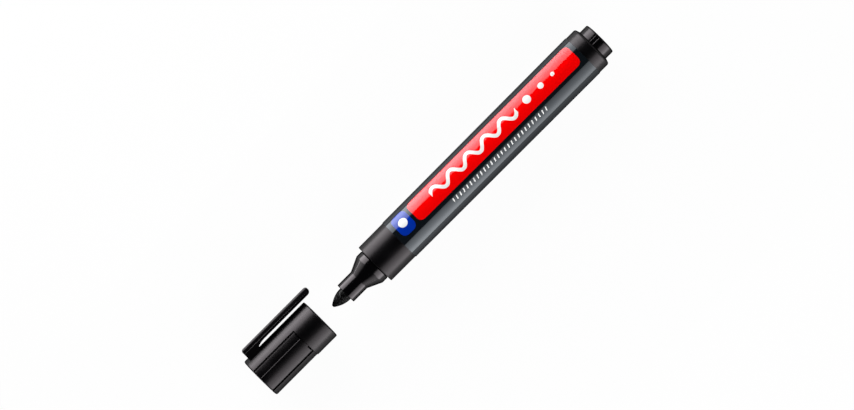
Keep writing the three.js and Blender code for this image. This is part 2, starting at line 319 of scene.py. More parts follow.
class MarkerStage(bpy.types.PropertyGroup):
    """Camera, lamps, cards and surroundings; lengths are in millimetres"""

    view_centre: FloatVectorProperty(
        name="View centre", description="Point at the middle of the picture", default=(-0.1, 0.09, 8.15))
    view_width: FloatProperty(
        name="View width", description="Width of the picture at the marker's axis", default=284.67)
    view_turn: FloatProperty(
        name="View turn", description="Turn of the camera above the marker", subtype="ANGLE",
        unit="ROTATION", default=math.radians(-45.08))
    lens: FloatProperty(
        name="Lens", description="Focal length of the camera", default=300)
    lamp_distance: FloatProperty(
        name="Lamp distance", description="Distance from the marker to each lamp", default=600)
    lamp_length: FloatProperty(
        name="Lamp length", description="Length of each lamp along the marker", default=1600)
    bright_length: FloatProperty(
        name="Bright length", description="Length of the fully bright middle of a lamp", default=300)
    fade_length: FloatProperty(
        name="Fade length", description="Length over which a lamp fades beyond its middle", default=360)
    end_level: FloatProperty(
        name="End level", description="Level of a lamp at its ends, against its middle", default=0.15)
    card_bright_length: FloatProperty(
        name="Card bright length", description="Length of the fully bright middle of a light card",
        default=144)
    card_fade_length: FloatProperty(
        name="Card fade length", description="Length over which a light card fades beyond its middle",
        default=75)
    card_end_level: FloatProperty(
        name="Card end level", description="Level of a light card at its ends, against its middle",
        default=0.08)
    low_side_height: FloatProperty(
        name="Near lamp height", description="Height of the lamp on the side away from the clip",
        default=770)
    low_side_level: FloatProperty(
        name="Near lamp level", description="Level of that lamp at the floor", default=1.06)
    low_side_top_level: FloatProperty(
        name="Near lamp top level", description="Level of that lamp at its top", default=0.36)
    clip_side_height: FloatProperty(
        name="Clip lamp height", description="Height of the lamp on the clip's side", default=580)
    clip_side_level: FloatProperty(
        name="Clip lamp level", description="Level of that lamp at the floor", default=1.5)
    clip_side_top_level: FloatProperty(
        name="Clip lamp top level", description="Level of that lamp at its top", default=0.7)
    low_side_card_from: FloatProperty(
        name="Near card", description="Distance from the axis to the light card of that lamp", default=90)
    clip_side_card_from: FloatProperty(
        name="Clip card", description="Distance from the axis to the light card on the clip's side",
        default=56)
    card_height: FloatProperty(
        name="Card height", description="Height of the cards above the floor", default=0.2)
    shade_inside: FloatProperty(
        name="Shade inside", description="Reach of the darkest part of the shade card", default=12)
    shade_level: FloatProperty(
        name="Shade level", description="Level of the darkest part of the shade card", default=0.03)
    low_side_shade: FloatProperty(
        name="Near shade", description="Reach of the shade card away from the clip", default=40)
    clip_side_shade: FloatProperty(
        name="Clip shade", description="Reach of the shade card on the clip's side", default=27)
    white_below: FloatProperty(
        name="White below", description="Sine of the height up to which the surroundings are white",
        default=0.15)
    dim_above: FloatProperty(
        name="Dim above", description="Sine of the height above which the surroundings are dim",
        default=0.45)
    dim_level: FloatProperty(
        name="Dim level", description="Level of the surroundings overhead", default=0.02)
    floor_width: FloatProperty(
        name="Floor width", description="Width of the floor", default=12000)
    brightness: FloatProperty(
        name="Brightness", description="Brightness of the lamps, where 1 shows as white", default=5.0)


# Materials


def linear(hex_colour):
    """Turns an sRGB hex value into linear red, green, blue and alpha."""
    parts = [int(hex_colour[i:i + 2], 16) / 255 for i in (1, 3, 5)]
    return [p / 12.92 if p <= 0.04045 else ((p + 0.055) / 1.055) ** 2.4 for p in parts] + [1.0]


def sizes():
    """The sizes of the marker's pieces."""
    return bpy.context.scene.marker_sizes


def colours():
    """The colours of the marker's materials."""
    return bpy.context.scene.marker_colours


def feed(tree, node, values):
    """Sets inputs of a node, each to a value or to the output of another node that feeds it."""
    for name, value in values.items():
        if isinstance(value, bpy.types.NodeSocket):
            tree.links.new(value, node.inputs[name])
        else:
            node.inputs[name].default_value = value


def add(tree, kind, *values, out=0, **settings):
    """Adds a node with its settings and links, and returns one of its outputs.

    The values go to the node's inputs in order, or by name where they come as a dictionary.
    """
    node = tree.nodes.new("ShaderNode" + kind)
    for name, value in settings.items():
        setattr(node, name, value)
    by_name = values and isinstance(values[0], dict)
    feed(tree, node, values[0] if by_name else dict(enumerate(values)))
    return node.outputs[out]


def new_material(name):
    """A material with its node tree, its surface shader and the place on the piece in metres."""
    made = bpy.data.materials.new(name)
    made.use_nodes = True
    tree = made.node_tree
    return made, tree, tree.nodes["Principled BSDF"], add(tree, "TexCoord", out="Object")


def measured(tree, place, axis, zero=0.0):
    """One coordinate of a place, in millimetres from the given zero."""
    metres = add(tree, "SeparateXYZ", place, out=axis)
    return add(tree, "Math", metres, 1 / MM, -zero, operation="MULTIPLY_ADD")


def per_mm(size):
    """Scale of a pattern in object coordinates whose detail has this size in millimetres."""
    return 1 / (size * MM)


# Carbon black in polypropylene gives its reflections a faint plum cast
PLUM_CAST = "#FFF5FB"

# The clear layer over the film's inks gives its reflections a faint cool cast
COOL_CAST = "#EEF6FF"

# Specular IOR Level at which a surface reflects just what its IOR gives
FULL_REFLECTION = 0.5

# Range that holds most values of a noise pattern
USUAL_NOISE = (0.3, 0.7)

# What a spark-eroded mould leaves on the plastic, with sizes in millimetres. Its real pits are about
# 0.05 mm across, and are drawn coarser so that they show
SPARK_ERODED = {"shine": 0.53, "rough": 0.31, "peel_size": 0.22, "peel_depth": 0.006}


def black_polypropylene(name, shine, rough, peel_size, peel_depth):
    """Moulded black polypropylene; shine is the share of its reflection that the mould's finish leaves."""
    made, tree, shader, place = new_material(name)
    flow_size, rough_spread = 6.0, 0.03
    flow = add(tree, "TexNoise", {"Vector": place, "Scale": per_mm(flow_size)})
    peel = add(tree, "TexNoise", {"Vector": place, "Scale": per_mm(peel_size), "Detail": 3.0})
    feed(tree, shader, {
        "Base Color": linear(colours().plastic),
        "Specular Tint": linear(PLUM_CAST),
        "IOR": 1.49,
        "Specular IOR Level": FULL_REFLECTION * shine,
        "Roughness": add(tree, "MapRange", flow, *USUAL_NOISE, rough - rough_spread, rough + rough_spread),
        "Normal": add(tree, "Bump", {"Height": peel, "Distance": peel_depth * MM, "Strength": 0.5}),
    })
    return made


def satin_polypropylene():
    """From a spark-eroded mould: fine pits spread its reflections and hide a part of them."""
    return black_polypropylene("satin_polypropylene", **SPARK_ERODED)


def cap_polypropylene():
    """Satin as the barrel's, with a painted highlight that makes it glossier toward the clip, and painted
    shade right beside the clip.
    """
    made = black_polypropylene("cap_polypropylene", **SPARK_ERODED)
    tree = made.node_tree
    across = measured(tree, add(tree, "TexCoord", out="Object"), "Y", AXIS_Y)
    # Painted highlight: distance from the axis toward the clip at which the reflection reaches its full
    # strength, and the shine that it has there
    highlight_at, highlight_shine = 2.6, 0.732
    levels = FULL_REFLECTION * SPARK_ERODED["shine"], FULL_REFLECTION * highlight_shine
    painted_highlight = add(tree, "MapRange", across, 0.0, highlight_at, *levels)
    # Painted shade: the reflection is dimmed beside the clip, as the clip shelters the skin there from a part
    # of the light
    shelter_from, shelter_to, sheltered = 5.0, 6.2, 0.45
    shelter = add(tree, "MapRange", across, shelter_from, shelter_to, 1.0, sheltered)
    feed(tree, tree.nodes["Principled BSDF"], {
        "Specular IOR Level": add(tree, "Math", painted_highlight, shelter, operation="MULTIPLY"),
    })
    return made


def polished_polypropylene():
    """From a polished mould: sharp reflections with a slight orange peel."""
    return black_polypropylene(
        "polished_polypropylene", shine=0.8, rough=0.14, peel_size=1.6, peel_depth=0.003)


def fine_polypropylene():
    """From a finely ground mould: between satin and polish, so that its reflections are soft."""
    return black_polypropylene(
        "fine_polypropylene", shine=0.62, rough=0.17, peel_size=0.5, peel_depth=0.003)


def film_places(tree, place):
    """Distance in millimetres from the film's front end, and round the film toward the clip."""
    toward_clip = measured(tree, place, "Y", AXIS_Y)
    upward = measured(tree, place, "Z", AXIS_Z)
    angle = add(tree, "Math", toward_clip, upward, operation="ARCTAN2")
    radius = (FILM[1].z - FILM[0].z) / 2
    around = add(tree, "Math", angle, radius, operation="MULTIPLY")
    return measured(tree, place, "X", FILM[0].x), around


def inside(tree, distance, reach):
    """1 where a distance is within reach, in millimetres, with an edge as soft as ink on film."""
    soft = 0.02
    return add(tree, "MapRange", distance, reach - soft, reach + soft, 1.0, 0.0)


def round_box(tree, spot, box, corner):
    """Mask of a box with rounded corners on the unrolled film; box is (from, to, low, high)."""
    start, end, low, high = box
    middle = ((start + end) / 2, (low + high) / 2, 0)
    straight = ((end - start) / 2 - corner, (high - low) / 2 - corner, 0)
    offset = add(tree, "VectorMath", spot, middle, operation="SUBTRACT")
    away = add(tree, "VectorMath", offset, operation="ABSOLUTE")
    past = add(tree, "VectorMath", away, straight, operation="SUBTRACT")
    past = add(tree, "VectorMath", past, (0, 0, 0), operation="MAXIMUM")
    return inside(tree, add(tree, "VectorMath", past, out="Value", operation="LENGTH"), corner)


def dot(tree, spot, along, around, radius):
    """Mask of a round dot on the unrolled film."""
    return round_box(tree, spot, (along - radius, along + radius, around - radius, around + radius), radius)


def wave_mark(tree, spot, along, around, look):
    """Mask of a hand-drawn wave with even stroke thickness."""
    middle = (look.low + look.high) / 2
    turn = 2 * math.pi / look.wave_pitch
    phase = add(tree, "Math", along, turn, -look.wave_from * turn, operation="MULTIPLY_ADD")
    sine = add(tree, "Math", phase, operation="SINE")
    height = add(tree, "Math", sine, look.wave_height, middle, operation="MULTIPLY_ADD")
    away = add(tree, "Math", add(tree, "Math", around, height, operation="SUBTRACT"), operation="ABSOLUTE")
    cosine = add(tree, "Math", phase, operation="COSINE")
    slope = add(tree, "Math", cosine, look.wave_height * turn, operation="MULTIPLY")
    steep = add(tree, "Math", slope, slope, 1.0, operation="MULTIPLY_ADD")
    steep = add(tree, "Math", steep, operation="SQRT")
    stroke = inside(tree, add(tree, "Math", away, steep, operation="DIVIDE"), look.wave_stroke / 2)
    reach, corner = look.wave_height + look.wave_stroke, 0.5
    window = round_box(tree, spot, (look.wave_from, look.wave_to, middle - reach, middle + reach), corner)
    return add(tree, "Math", stroke, window, operation="MULTIPLY")


def tick_row(tree, spot, along, around, look):
    """Mask of a row of short slanted ticks."""
    slant, corner = 0.25, 0.1
    leaning = add(tree, "Math", around, -slant, along, operation="MULTIPLY_ADD")
    turns = add(tree, "Math", leaning, look.tick_pitch, operation="DIVIDE")
    turns = add(tree, "Math", turns, operation="FRACT")
    from_middle = add(tree, "Math", turns, 0.5, operation="SUBTRACT")
    from_middle = add(tree, "Math", from_middle, operation="ABSOLUTE")
    stroke = inside(
        tree, add(tree, "Math", from_middle, look.tick_pitch, operation="MULTIPLY"), look.tick_stroke / 2)
    low, high = look.scale_at - look.tick_height / 2, look.scale_at + look.tick_height / 2
    window = round_box(tree, spot, (look.scale_from, look.scale_to, low, high), corner)
    return add(tree, "Math", stroke, window, operation="MULTIPLY")


def printed_film():
    """Glossy printed polypropylene film: hard, mirror-like reflections over flat inks."""
    made, tree, shader, place = new_material("printed_film")
    look, shades = bpy.context.scene.marker_print, colours()
    along, around = film_places(tree, place)
    # The print lies slightly askew, turned about the middle of the red panel
    pivot = (look.red_from + look.red_to) / 2
    drop = add(tree, "Math", along, look.skew, -pivot * look.skew, operation="MULTIPLY_ADD")
    around = add(tree, "Math", around, drop, operation="ADD")
    spot = add(tree, "CombineXYZ", along, around)
    middle = (look.low + look.high) / 2
    red = round_box(tree, spot, (look.red_from, look.red_to, look.low, look.high), look.corner)
    blue = round_box(tree, spot, (look.blue_from, look.blue_to, look.low, look.high), look.corner)
    marks = [
        wave_mark(tree, spot, along, around, look),
        tick_row(tree, spot, along, around, look),
        dot(tree, spot, (look.blue_from + look.blue_to) / 2, middle, look.blue_dot),
    ]
    marks += [dot(tree, spot, at, middle, radius) for at, radius in zip(look.dots_at, look.dot_radii)]
    colour = linear(shades.film_base)
    layers = [(red, shades.film_red), (blue, shades.film_blue)]
    layers += [(mark, shades.film_white) for mark in marks]
    for mask, shade in layers:
        colour = add(tree, "Mix", {
            "Factor": mask, "A": colour, "B": linear(shade),
        }, out="Result", data_type="RGBA")
    # Painted shade on its reflections: their strength falls a little toward the tail, between two places
    # along it
    dimming_places, dimming_levels = (12, 55), (0.46, 0.34)
    wrinkle = add(tree, "TexNoise", {"Vector": place, "Scale": per_mm(9.0)})
    scuff = add(tree, "TexNoise", {"Vector": place, "Scale": per_mm(1.2), "Detail": 4.0})
    feed(tree, shader, {
        "Base Color": colour,
        "Specular Tint": linear(COOL_CAST),
        "IOR": 1.5,
        "Specular IOR Level": add(tree, "MapRange", along, *dimming_places, *dimming_levels),
        "Roughness": add(tree, "MapRange", scuff, 0.3, 0.75, 0.045, 0.08),
        "Normal": add(tree, "Bump", {"Height": wrinkle, "Distance": 0.01 * MM, "Strength": 0.2}),
    })
    return made


def inked_fibre():
    """Pressed polyester fibre soaked with ink: black, with glints where single fibres stand out."""
    made, tree, shader, place = new_material("inked_fibre")
    # The real fibres are about 0.02 mm thick, and are drawn coarser so that they show
    stretched = add(tree, "Mapping", {"Vector": place, "Scale": (0.4, 1.0, 1.0)})
    strands = add(tree, "TexNoise", {"Vector": stretched, "Scale": per_mm(0.25), "Detail": 3.0})
    clumps = add(tree, "TexNoise", {"Vector": place, "Scale": per_mm(0.8), "Detail": 3.0})
    mottle = add(tree, "Math", strands, clumps, operation="MULTIPLY")
    bare = add(tree, "MapRange", mottle, 0.25, 0.34, 0.0, 1.0)
    # The nib's end is quite wet, and shows no bare fibres
    wet_length = 1.3
    dry = add(tree, "MapRange", measured(tree, place, "X", NIB[0].x), 0.0, wet_length, 0.0, 1.0)
    share = add(tree, "Math", bare, dry, operation="MULTIPLY")
    feed(tree, shader, {
        "Base Color": add(tree, "Mix", {
            "Factor": share, "A": linear(colours().nib_ink), "B": linear(colours().nib),
        }, out="Result", data_type="RGBA"),
        "Roughness": 0.5,
        "Specular IOR Level": add(tree, "MapRange", share, 0.0, 1.0, 0.04, 0.4),
        "Normal": add(tree, "Bump", {"Height": mottle, "Distance": 0.12 * MM, "Strength": 0.9}),
    })
    return made


def soaked_fibre():
    """Bundled polyester fibre full of ink: dark, and ribbed along its length."""
    made, tree, shader, place = new_material("soaked_fibre")
    # These fibres are as thin, and are drawn coarser too
    stretched = add(tree, "Mapping", {"Vector": place, "Scale": (0.05, 1.0, 1.0)})
    strands = add(tree, "TexNoise", {"Vector": stretched, "Scale": per_mm(0.3), "Detail": 4.0})
    feed(tree, shader, {
        "Base Color": add(tree, "Mix", {
            "Factor": strands, "A": linear(colours().store_ink), "B": linear(colours().store),
        }, out="Result", data_type="RGBA"),
        "Roughness": 0.9,
        "Normal": add(tree, "Bump", {"Height": strands, "Distance": 0.05 * MM}),
    })
    return made


def clear_film():
    """Thin clear polyester film: colourless, smooth and slightly creased."""
    made, tree, shader, place = new_material("clear_film")
    haze = add(tree, "TexNoise", {"Vector": place, "Scale": per_mm(2.0)})
    crease = add(tree, "TexNoise", {"Vector": place, "Scale": per_mm(5.0)})
    feed(tree, shader, {
        "Base Color": linear(colours().wrap),
        "Transmission Weight": 0.9,
        "IOR": 1.45,
        "Roughness": add(tree, "MapRange", haze, *USUAL_NOISE, 0.08, 0.2),
        "Normal": add(tree, "Bump", {"Height": crease, "Distance": 0.02 * MM, "Strength": 0.4}),
    })
    return made


def soft_polyethylene():
    """Moulded polyethylene: waxy, a little softer in its reflections than the cap."""
    made, tree, shader, place = new_material("soft_polyethylene")
    wax = add(tree, "TexNoise", {"Vector": place, "Scale": per_mm(2.5)})
    peel = add(tree, "TexNoise", {"Vector": place, "Scale": per_mm(0.4)})
    feed(tree, shader, {
        "Base Color": linear(colours().seal),
        "IOR": 1.51,
        "Roughness": add(tree, "MapRange", wax, *USUAL_NOISE, 0.4, 0.5),
        "Normal": add(tree, "Bump", {"Height": peel, "Distance": 0.005 * MM, "Strength": 0.4}),
    })
    return made


# Level at which the eye and reflections see the floor, where 1 is white
FLOOR_LEVEL = 0.96


def pale_floor():
    """Matt white board. The eye and reflections see it almost white, and it keeps a soft shadow."""
    made, tree, shader, place = new_material("pale_floor")
    tooth = add(tree, "TexNoise", {"Vector": place, "Scale": per_mm(0.8)})
    feed(tree, shader, {
        "Base Color": linear(colours().floor),
        "Roughness": 0.9,
        "Specular IOR Level": 0.2,
        "Normal": add(tree, "Bump", {"Height": tooth, "Distance": 0.01 * MM, "Strength": 0.3}),
    })
    plain = 0.0
    for ray in ("Is Camera Ray", "Is Glossy Ray", "Is Transmission Ray"):
        plain = add(tree, "Math", plain, add(tree, "LightPath", out=ray), operation="MAXIMUM")
    share = add(tree, "Math", plain, FLOOR_LEVEL, operation="MULTIPLY")
    white = add(tree, "Emission", {"Color": linear("#FFFFFF"), "Strength": 1.0})
    feed(tree, tree.nodes["Material Output"], {
        "Surface": add(tree, "MixShader", share, shader.outputs[0], white),
    })
    return made


def fade_along(tree, reach, bright_length, fade_length, end_level):
    """Level of a lamp or card against its middle, at a distance along it in millimetres."""
    bright = bright_length / 2
    return add(tree, "MapRange", reach, bright, bright + fade_length, 1.0, end_level)


def shade_glow(tree, place, look):
    """Level of the shade card, a painted shadow that darkens toward the marker as the shadow on a white board
    does.
    """
    across = measured(tree, place, "Y", AXIS_Y)
    levels = look.shade_level, FLOOR_LEVEL
    clip_side = add(tree, "MapRange", across, look.shade_inside, look.clip_side_shade, *levels)
    low_side = add(tree, "MapRange", across, -look.shade_inside, -look.low_side_shade, *levels)
    return add(tree, "Math", clip_side, low_side, operation="MAXIMUM")


def light_glow(tree, place, look):
    """Level of a light card, a painted reflection that glows as the foot of the lamp behind it does."""
    reach = add(tree, "Math", measured(tree, place, "X"), operation="ABSOLUTE")
    levels = look.brightness * look.low_side_level, look.brightness * look.clip_side_level
    level = add(tree, "MapRange", measured(tree, place, "Y", AXIS_Y), -1, 1, *levels)
    fade = fade_along(tree, reach, look.card_bright_length, look.card_fade_length, look.card_end_level)
    return add(tree, "Math", level, fade, operation="MULTIPLY")


def glowing_card(name, glow):
    """A card that reflects nothing and glows at the level that a function gives for each place."""
    made, tree, shader, place = new_material(name)
    feed(tree, shader, {
        "Base Color": linear("#000000"),
        "Specular IOR Level": 0,
        "Emission Color": linear("#FFFFFF"),
        "Emission Strength": glow(tree, place, bpy.context.scene.marker_stage),
    })
    return made


def shade_card():
    """Glowing card with a painted shadow of the marker, seen only in reflections: white at its edges and dark
    under the marker.
    """
    return glowing_card("shade_card", shade_glow)


def light_card():
    """Glowing card, a painted reflection of the lamp's light on the floor: even and bright, and dimmer toward
    its ends.
    """
    return glowing_card("light_card", light_glow)


made_materials = {}


def material(maker):
    """The finished material of a maker function, made once."""
    if maker not in made_materials:
        made_materials[maker] = maker()
    return made_materials[maker]


# Modelling


def edit(piece):
    """Selects just one piece and opens it in edit mode."""
    bpy.ops.object.select_all(action="DESELECT")
    piece.select_set(True)
    bpy.context.view_layer.objects.active = piece
    bpy.ops.object.mode_set(mode="EDIT")


def choose(piece, kind, test):
    """Selects, in edit mode, just the verts, edges or faces that pass a test."""
    bpy.ops.mesh.select_mode(type=kind)
    bpy.ops.mesh.select_all(action="DESELECT")
    mesh = bmesh.from_edit_mesh(piece.data)
    parts = {"VERT": mesh.verts, "EDGE": mesh.edges, "FACE": mesh.faces}[kind]
    for part in parts:
        if test(part):
            part.select_set(True)
    bmesh.update_edit_mesh(piece.data)


def off_axis(point):
    """Distance of a point of a mesh from the marker's axis, in millimetres."""
    return math.hypot(point.y / MM - AXIS_Y, point.z / MM - AXIS_Z)


def from_clip(point):
    """Angle of a point round the axis from the clip, in degrees from 0 to 180."""
    return abs(math.degrees(math.atan2(point.z / MM - AXIS_Z, point.y / MM - AXIS_Y)))


def near(a, b, within=0.004):
    """Whether two lengths or angles agree closely enough to mean the same place."""
    return abs(a - b) < within


def ring(name, x, radius, sides):
    """A ring of vertices round the marker's axis, left in edit mode and selected."""
    bpy.ops.object.select_all(action="DESELECT")
    bpy.ops.mesh.primitive_circle_add(
        vertices=sides, radius=radius * MM, fill_type="NOTHING",
        location=(x * MM, AXIS_Y * MM, AXIS_Z * MM), rotation=(0, math.pi / 2, 0))
    piece = bpy.context.object
    piece.name = name
    piece.data.name = name
    bpy.ops.object.transform_apply(location=True, rotation=True, scale=True)
    edit(piece)
    bpy.ops.mesh.select_mode(type="EDGE")
    bpy.ops.mesh.select_all(action="SELECT")
    return piece


def widen(factor):
    """Scales what is selected toward or away from the axis."""
    if abs(factor - 1) > 1e-9:
        bpy.ops.transform.resize(value=(1, factor, factor), center_override=(0, AXIS_Y * MM, AXIS_Z * MM))


def pull(ring_from, ring_to):
    """Extrudes the selected ring from one place and radius to another."""
    (x, radius), (to_x, to_radius) = ring_from, ring_to
    bpy.ops.mesh.extrude_region_move(TRANSFORM_OT_translate={"value": ((to_x - x) * MM, 0, 0)})
    widen(to_radius / radius)


def round_rings(piece, edges, segments=4):
    """Rounds whole rings of edges; each entry is (x, radius, rounding)."""
    for x, radius, rounding in edges:
        choose(piece, "EDGE", lambda e: all(
            near(v.co.x / MM, x) and near(off_axis(v.co), radius) for v in e.verts))
        bpy.ops.mesh.bevel(
            offset=rounding * MM, segments=segments, profile=0.5, affect="EDGES", clamp_overlap=False)


def finish(piece, body, replaced, maker, smooth=30):
    """Closes the edit of a piece, shades it, and hands it to the frame."""
    bpy.ops.mesh.select_all(action="SELECT")
    bpy.ops.mesh.normals_make_consistent(inside=False)
    bpy.ops.object.mode_set(mode="OBJECT")
    bpy.ops.object.shade_smooth_by_angle(angle=math.radians(smooth))
    bpy.ops.object.modifier_add(type="WEIGHTED_NORMAL")
    piece.modifiers[-1].keep_sharp = True
    bpy.ops.object.modifier_apply(modifier=piece.modifiers[-1].name)
    piece.data.materials.clear()
    piece.data.materials.append(material(maker))
    if body:
        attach(piece, body)
    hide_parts(replaced)
    return piece


def turned(name, outline, joined, sides=None):
    """A turned piece, left in edit mode.

    Each entry of the outline is (x, radius, rounding) in millimetres. A joined outline is a
    tube whose last ring meets its first, and any other is closed by a disc at both ends.
    """
    piece = ring(name, outline[0][0], outline[0][1], sides or sizes().sides)
    for last, new in zip(outline, outline[1:]):
        pull(last[:2], new[:2])
    bpy.ops.mesh.select_all(action="DESELECT")
    bpy.ops.mesh.select_non_manifold(
        extend=False, use_wire=False, use_boundary=True, use_multi_face=False,
        use_non_contiguous=False, use_verts=False)
    if joined:
        bpy.ops.mesh.bridge_edge_loops()
    else:
        bpy.ops.mesh.fill_holes(sides=0)
    round_rings(piece, [entry for entry in outline if entry[2] > 0])
    return piece


def barrel_radius(x):
    """Radius of the barrel, which grows evenly from its collar to its tail end."""
    share = (x - BARREL[0].x) / (BARREL[1].x - BARREL[0].x)
    return sizes().collar_radius + share * (sizes().shoulder_radius - sizes().collar_radius)


# Pieces


class BuildBarrel(bpy.types.Operator):
    """Builds the moulded barrel with its collar and its tail shoulder"""

    bl_idname = "marker.barrel"
    bl_label = "Barrel"

    def execute(self, context):
        s = sizes()
        front, end = BARREL[0].x, BARREL[1].x
        bore, chamber = SPIGOT_RADIUS + s.spigot_gap, SPIGOT_RADIUS - s.bore_step
        barrel = turned("barrel_tube", [
            (front, bore, s.sharp_edge),
            (front, s.collar_radius, s.collar_edge),
            (end - s.shoulder_inset, s.shoulder_radius, s.shoulder_edge),
            (end + s.shoulder_lip, bore, s.sharp_edge),
            (end - s.spigot_depth, bore, 0),
            (end - s.spigot_depth, chamber, 0),
            (front + s.spigot_depth, chamber, 0),
            (front + s.spigot_depth, bore, 0),
        ], joined=True)
        finish(barrel, "barrel", "barrel", satin_polypropylene)
        return {"FINISHED"}


class BuildFilm(bpy.types.Operator):
    """Builds the printed film round the barrel"""

    bl_idname = "marker.film"
    bl_label = "Printed film"

    def execute(self, context):
        s = sizes()
        front, end = FILM[0].x, FILM[1].x
        outer = (FILM[1].z - FILM[0].z) / 2
        taper = barrel_radius(end) - barrel_radius(front)
        film = turned("film_sleeve", [
            (front, barrel_radius(front) + s.film_gap, 0),
            (front, outer - taper, s.sharp_edge),
            (end, outer, s.sharp_edge),
            (end, barrel_radius(end) + s.film_gap, 0),
        ], joined=True)
        finish(film, "barrel", "barrel_label", printed_film)
        return {"FINISHED"}


class BuildNozzle(bpy.types.Operator):
    """Builds the glossy nozzle that holds the nib"""

    bl_idname = "marker.nozzle"
    bl_label = "Nozzle"

    def execute(self, context):
        s = sizes()
        front, back = NOZZLE[0].x, NOZZLE[1].x
        bore = s.nib_radius + s.nib_gap
        groove = SPIGOT_RADIUS - s.relief_depth
        nozzle = turned("nozzle_body", [
            (front, bore, s.crisp_edge),
            (front, s.tip_radius, s.rim_edge),
            (front + s.tip_length, s.tip_radius, s.cone_edge),
            (COLLAR_X - s.seat_length, SPIGOT_RADIUS, s.soft_edge),
            (COLLAR_X - s.relief_width, SPIGOT_RADIUS, s.sharp_edge),
            (COLLAR_X, groove, 0),
            (COLLAR_X, SPIGOT_RADIUS, 0),
            (back, SPIGOT_RADIUS, s.soft_edge),
            (back, bore, 0),
        ], joined=True)
        finish(nozzle, "barrel", "nozzle", polished_polypropylene)
        return {"FINISHED"}


class BuildNib(bpy.types.Operator):
    """Builds the pressed fibre nib with its bullet point"""

    bl_idname = "marker.nib"
    bl_label = "Nib"

    def execute(self, context):
        s = sizes()
        front, heel = NIB[0].x, NIB[1].x
        steps = 28
        outline = []
        for step in range(steps + 1):
            share = step / steps
            radius = s.nib_radius - (s.nib_radius - s.nib_end_radius) * (1 - share) ** 2
            outline.append((front + share * s.nib_point_length, radius, 0))
        outline[0] = (front, s.nib_end_radius, s.nib_end_edge)
        outline += [(heel - s.nib_heel_length, s.nib_radius, 0), (heel, s.nib_radius / 2, 0)]
        nib = turned("nib_fibre", outline, joined=False, sides=96)
        finish(nib, "barrel", "nib", inked_fibre)
        return {"FINISHED"}


class BuildPlug(bpy.types.Operator):
    """Builds the glossy plug that closes the tail"""

    bl_idname = "marker.plug"
    bl_label = "Tail plug"

    def execute(self, context):
        s = sizes()
        front, end = PLUG[0].x, PLUG[1].x
        crown = end - s.plug_crown
        plug = turned("plug_body", [
            (end, s.plug_hub_radius, 0),
            (end, s.plug_middle_radius, 0),
            (end - s.plug_crown / 4, s.plug_flat_radius, s.plug_flat_edge),
            (crown, SPIGOT_RADIUS, s.plug_edge),
            (front, SPIGOT_RADIUS, s.soft_edge),
            (front, s.plug_hub_radius, 0),
        ], joined=False)
        self.raise_ribs(plug)
        finish(plug, "barrel", "tail_plug", fine_polypropylene)
        return {"FINISHED"}

    def raise_ribs(self, plug):
        """Raises the fine mould lines along the plug, two on each side."""
        s = sizes()

        def on_rib(vert, angle):
            return near(from_clip(vert.co), angle, 0.3) and near(off_axis(vert.co), SPIGOT_RADIUS, 0.01)

        for angle in s.rib_angles:
            choose(plug, "EDGE", lambda e: (
                all(on_rib(v, angle) for v in e.verts)
                and abs(e.verts[0].co.x - e.verts[1].co.x) > MM))
            bpy.ops.mesh.bevel(
                offset=s.ridge_width / 2 * MM, segments=2, affect="EDGES", clamp_overlap=False)
            choose(plug, "VERT", lambda v: on_rib(v, angle))
            widen((SPIGOT_RADIUS + s.ridge_height) / SPIGOT_RADIUS)


